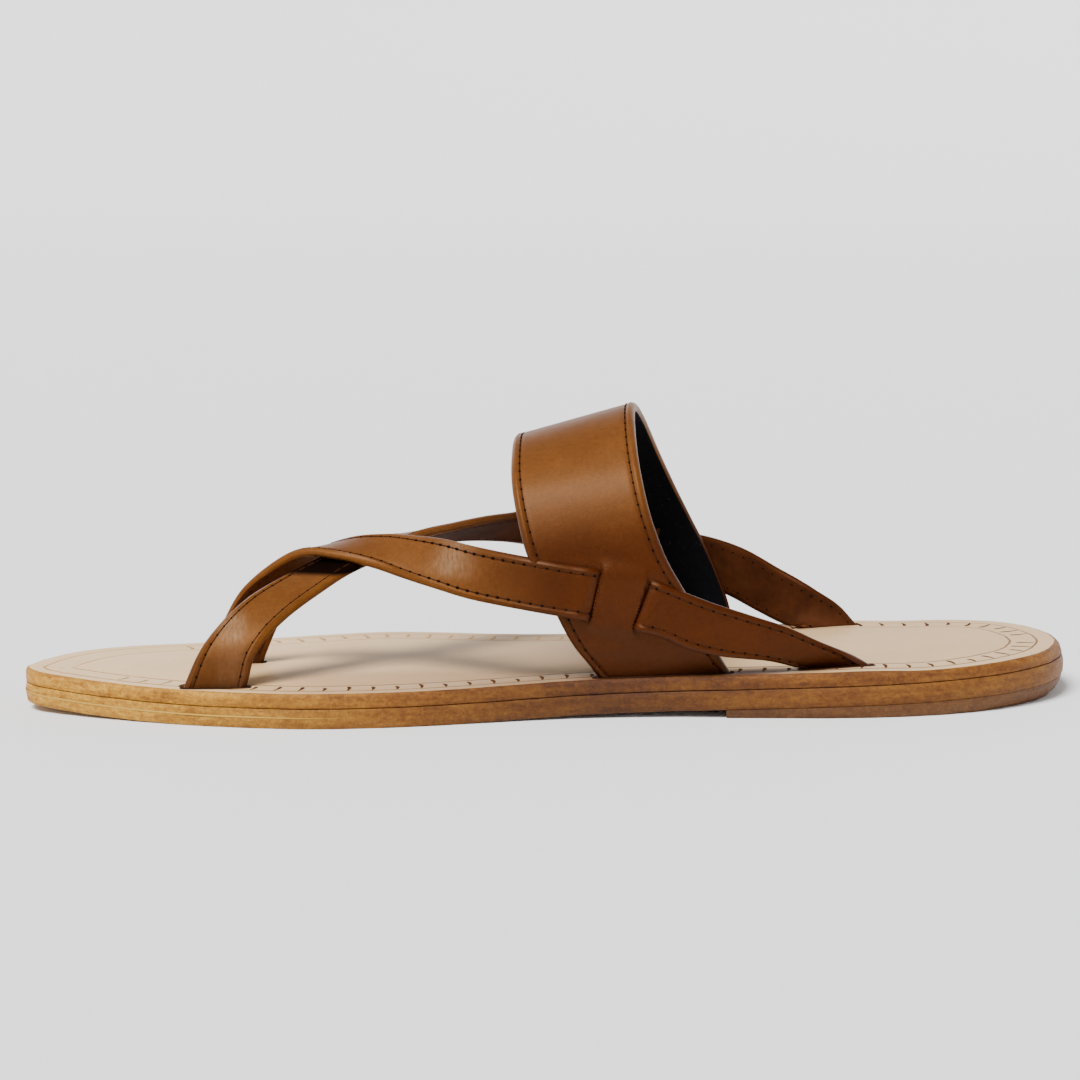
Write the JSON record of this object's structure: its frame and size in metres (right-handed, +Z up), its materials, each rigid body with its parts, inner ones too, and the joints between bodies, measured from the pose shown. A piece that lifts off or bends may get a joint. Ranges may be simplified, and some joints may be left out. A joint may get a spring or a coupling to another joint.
{
  "type": "kolhapuri sandal",
  "caption": "Flat leather sandal for the right foot: layered leather sole, wide instep band and two crossed straps slotted through the sole, with a loop for the big toe.",
  "frame": {"origin": "on the floor under the middle of the sole's bounding box", "axes": "toe towards -X, heel towards +X, the big toe's side towards -Y, the little toe's side towards +Y, +Z up"},
  "size_m": [0.2746, 0.0968, 0.0773],
  "materials": {
    "natural_leather": "matte vegetable-tanned",
    "sole_leather": "burnished edge",
    "heel_leather": "sanded edge",
    "tan_leather": "smooth, half gloss"
  },
  "bodies": {
    "root": {"insole": "natural_leather", "midsole": "sole_leather", "outsole": "sole_leather", "heel_lift": "heel_leather", "upper": "tan_leather"}
  },
  "joints": []
}
